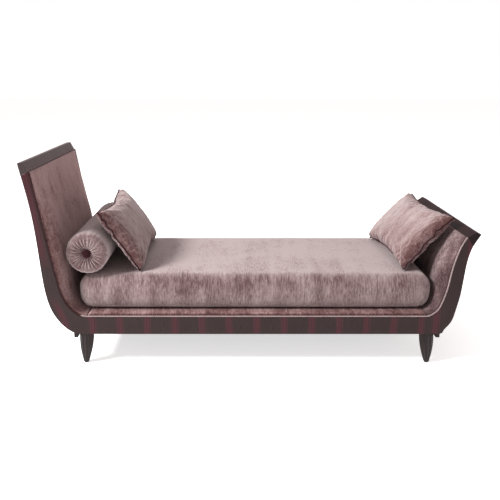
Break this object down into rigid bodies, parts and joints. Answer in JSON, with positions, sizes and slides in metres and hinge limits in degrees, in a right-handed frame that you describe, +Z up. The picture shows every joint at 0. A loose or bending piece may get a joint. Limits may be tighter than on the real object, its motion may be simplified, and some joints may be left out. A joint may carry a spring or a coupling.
{
  "type": "daybed",
  "caption": "Daybed with a tall and a low scrolled end in banded dark veneer, fluted tapered legs, a loose velvet mattress, a bolster and leaning pillows.",
  "frame": {"origin": "on the floor under the middle of the outline", "axes": "+X along the length towards the low end, +Y from the front face to the rear face, +Z up"},
  "size_m": [2.0584, 0.84, 0.9619],
  "materials": {
    "banded_veneer": "gloss",
    "dark_leg_wood": "satin",
    "frame_wood": "matte",
    "velvet": "matte",
    "burgundy_trim": "matte",
    "foam": "matte",
    "feather_filling": "matte",
    "webbing": "matte",
    "canvas": "matte",
    "dust_cloth": "matte",
    "zinc_steel": "satin",
    "brass_insert": "satin",
    "nylon_glide": "matte"
  },
  "bodies": {
    "frame": {"corner_blocks": "frame_wood", "crest_dowels": "frame_wood", "cross_webbing": "webbing", "deck_canvas": "canvas", "deck_cover": "velvet", "deck_pad": "foam", "deck_stretcher_1": "frame_wood", "deck_stretcher_2": "frame_wood", "dust_cover": "dust_cloth", "front_batten": "frame_wood", "front_rail": "banded_veneer", "front_welt": "velvet", "leg_bolts": "zinc_steel", "leg_inserts": "brass_insert", "long_webbing": "webbing", "low_crest": "banded_veneer", "low_deck_rail": "frame_wood", "low_end_backing": "frame_wood", "low_end_cover": "velvet", "low_end_foam": "foam", "low_end_skin": "banded_veneer", "low_front_glide": "nylon_glide", "low_front_leg": "dark_leg_wood", "low_front_post": "banded_veneer", "low_rear_glide": "nylon_glide", "low_rear_leg": "dark_leg_wood", "low_rear_post": "banded_veneer", "low_rib_1": "frame_wood", "low_sill": "dark_leg_wood", "rail_dowels": "frame_wood", "rear_batten": "frame_wood", "rear_rail": "banded_veneer", "rear_welt": "velvet", "tall_crest": "banded_veneer", "tall_deck_rail": "frame_wood", "tall_end_backing": "frame_wood", "tall_end_cover": "velvet", "tall_end_foam": "foam", "tall_end_skin": "banded_veneer", "tall_front_glide": "nylon_glide", "tall_front_leg": "dark_leg_wood", "tall_front_post": "banded_veneer", "tall_rear_glide": "nylon_glide", "tall_rear_leg": "dark_leg_wood", "tall_rear_post": "banded_veneer", "tall_rib_1": "frame_wood", "tall_rib_2": "frame_wood", "tall_sill": "dark_leg_wood"},
    "mattress": {"mattress_cover": "velvet", "mattress_core": "foam"},
    "bolster": {"bolster_cover": "velvet", "bolster_core": "feather_filling", "bolster_front_button": "burgundy_trim", "bolster_rear_button": "burgundy_trim"},
    "tall_pillow": {"tall_pillow_cover": "velvet", "tall_pillow_filling": "feather_filling", "tall_pillow_piping": "burgundy_trim"},
    "low_pillow": {"low_pillow_cover": "velvet", "low_pillow_filling": "feather_filling", "low_pillow_piping": "burgundy_trim"}
  },
  "joints": [
    {"name": "mattress_lift", "type": "slide", "parent": "frame", "child": "mattress", "axis": [0, 0, 1], "range_m": [0, 0.72]},
    {"name": "bolster_lift", "type": "slide", "parent": "mattress", "child": "bolster", "axis": [0, 0, 1], "range_m": [0, 0.54]},
    {"name": "tall_pillow_lift", "type": "slide", "parent": "bolster", "child": "tall_pillow", "axis": [0, 0, 1], "range_m": [0, 0.54]},
    {"name": "low_pillow_lift", "type": "slide", "parent": "mattress", "child": "low_pillow", "axis": [0, 0, 1], "range_m": [0, 0.54]}
  ]
}
